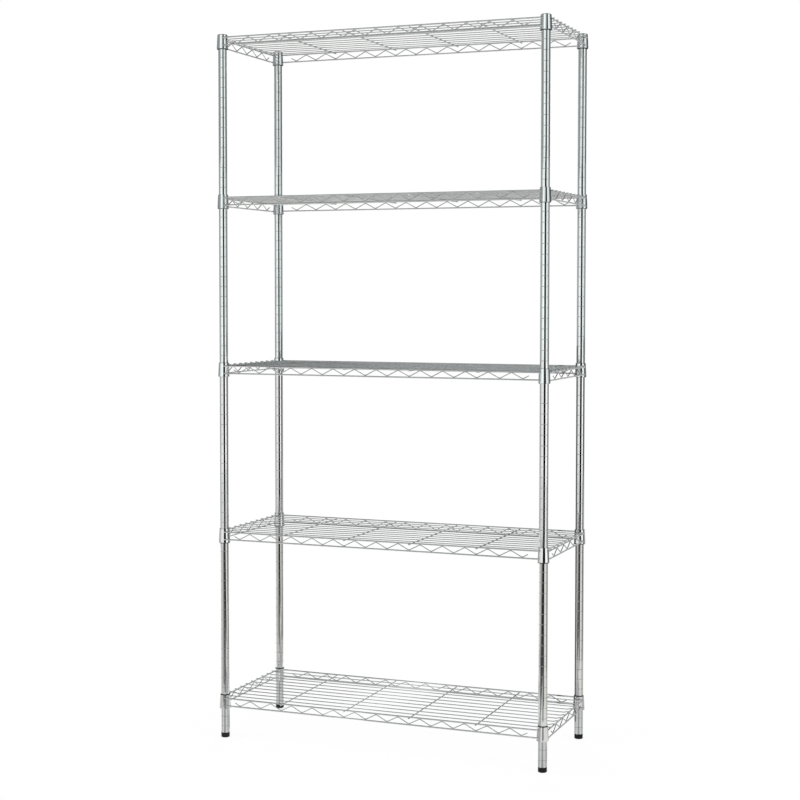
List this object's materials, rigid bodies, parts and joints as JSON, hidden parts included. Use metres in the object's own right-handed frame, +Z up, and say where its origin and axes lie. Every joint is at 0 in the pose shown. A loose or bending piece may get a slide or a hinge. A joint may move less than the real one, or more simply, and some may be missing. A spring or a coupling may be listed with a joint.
{
  "type": "wire shelving rack",
  "caption": "Free-standing chrome wire rack: grooved round posts on levelling feet carry truss-edged wire shelves on tapered split sleeves.",
  "frame": {"origin": "on the floor, under the middle of the rack", "axes": "+X along the shelves to the right seen from the front, -Y to the front, +Z up"},
  "size_m": [0.892, 0.3564, 1.8176],
  "materials": {
    "post_chrome": "bright chrome plate on rolled steel tube",
    "wire_chrome": "bright chrome plate on welded steel wire",
    "collar_chrome": "bright chrome plate on steel collar",
    "joint_steel": "zinc-plated turned steel",
    "sleeve_plastic": "moulded black plastic",
    "foot_plastic": "moulded black plastic",
    "plug_plastic": "moulded black plastic"
  },
  "bodies": {
    "posts": {"front_left_lower_post": "post_chrome", "front_right_lower_post": "post_chrome", "back_left_lower_post": "post_chrome", "back_right_lower_post": "post_chrome", "front_left_upper_post": "post_chrome", "front_right_upper_post": "post_chrome", "back_left_upper_post": "post_chrome", "back_right_upper_post": "post_chrome", "front_left_joint_stud": "joint_steel", "front_right_joint_stud": "joint_steel", "back_left_joint_stud": "joint_steel", "back_right_joint_stud": "joint_steel", "joint_nuts": "joint_steel", "foot_nuts": "foot_plastic", "post_top_plugs": "plug_plastic", "shelf_1_sleeves": "sleeve_plastic", "shelf_2_sleeves": "sleeve_plastic", "shelf_3_sleeves": "sleeve_plastic", "shelf_4_sleeves": "sleeve_plastic", "shelf_5_sleeves": "sleeve_plastic"},
    "shelf_1": {"shelf_1_front_truss": "wire_chrome", "shelf_1_back_truss": "wire_chrome", "shelf_1_left_truss": "wire_chrome", "shelf_1_right_truss": "wire_chrome", "shelf_1_cross_bars": "wire_chrome", "shelf_1_mat_wires": "wire_chrome", "shelf_1_collars": "collar_chrome"},
    "shelf_2": {"shelf_2_front_truss": "wire_chrome", "shelf_2_back_truss": "wire_chrome", "shelf_2_left_truss": "wire_chrome", "shelf_2_right_truss": "wire_chrome", "shelf_2_cross_bars": "wire_chrome", "shelf_2_mat_wires": "wire_chrome", "shelf_2_collars": "collar_chrome"},
    "shelf_3": {"shelf_3_front_truss": "wire_chrome", "shelf_3_back_truss": "wire_chrome", "shelf_3_left_truss": "wire_chrome", "shelf_3_right_truss": "wire_chrome", "shelf_3_cross_bars": "wire_chrome", "shelf_3_mat_wires": "wire_chrome", "shelf_3_collars": "collar_chrome"},
    "shelf_4": {"shelf_4_front_truss": "wire_chrome", "shelf_4_back_truss": "wire_chrome", "shelf_4_left_truss": "wire_chrome", "shelf_4_right_truss": "wire_chrome", "shelf_4_cross_bars": "wire_chrome", "shelf_4_mat_wires": "wire_chrome", "shelf_4_collars": "collar_chrome"},
    "shelf_5": {"shelf_5_front_truss": "wire_chrome", "shelf_5_back_truss": "wire_chrome", "shelf_5_left_truss": "wire_chrome", "shelf_5_right_truss": "wire_chrome", "shelf_5_cross_bars": "wire_chrome", "shelf_5_mat_wires": "wire_chrome", "shelf_5_collars": "collar_chrome"},
    "front_left_foot": {"front_left_foot": "foot_plastic"},
    "front_right_foot": {"front_right_foot": "foot_plastic"},
    "back_left_foot": {"back_left_foot": "foot_plastic"},
    "back_right_foot": {"back_right_foot": "foot_plastic"}
  },
  "joints": [
    {"name": "shelf_1_lift", "type": "slide", "parent": "posts", "child": "shelf_1", "axis": [0, 0, 1], "range_m": [0, 0.3953]},
    {"name": "shelf_2_lift", "type": "slide", "parent": "posts", "child": "shelf_2", "axis": [0, 0, 1], "range_m": [0, 0.3923]},
    {"name": "shelf_3_lift", "type": "slide", "parent": "posts", "child": "shelf_3", "axis": [0, 0, 1], "range_m": [0, 0.3938]},
    {"name": "shelf_4_lift", "type": "slide", "parent": "posts", "child": "shelf_4", "axis": [0, 0, 1], "range_m": [0, 0.3679]},
    {"name": "shelf_5_lift", "type": "slide", "parent": "posts", "child": "shelf_5", "axis": [0, 0, 1], "range_m": [0, 0.1]},
    {"name": "front_left_foot_travel", "type": "slide", "parent": "posts", "child": "front_left_foot", "axis": [0, 0, -1], "range_m": [0, 0.012]},
    {"name": "front_right_foot_travel", "type": "slide", "parent": "posts", "child": "front_right_foot", "axis": [0, 0, -1], "range_m": [0, 0.012]},
    {"name": "back_left_foot_travel", "type": "slide", "parent": "posts", "child": "back_left_foot", "axis": [0, 0, -1], "range_m": [0, 0.012]},
    {"name": "back_right_foot_travel", "type": "slide", "parent": "posts", "child": "back_right_foot", "axis": [0, 0, -1], "range_m": [0, 0.012]}
  ]
}
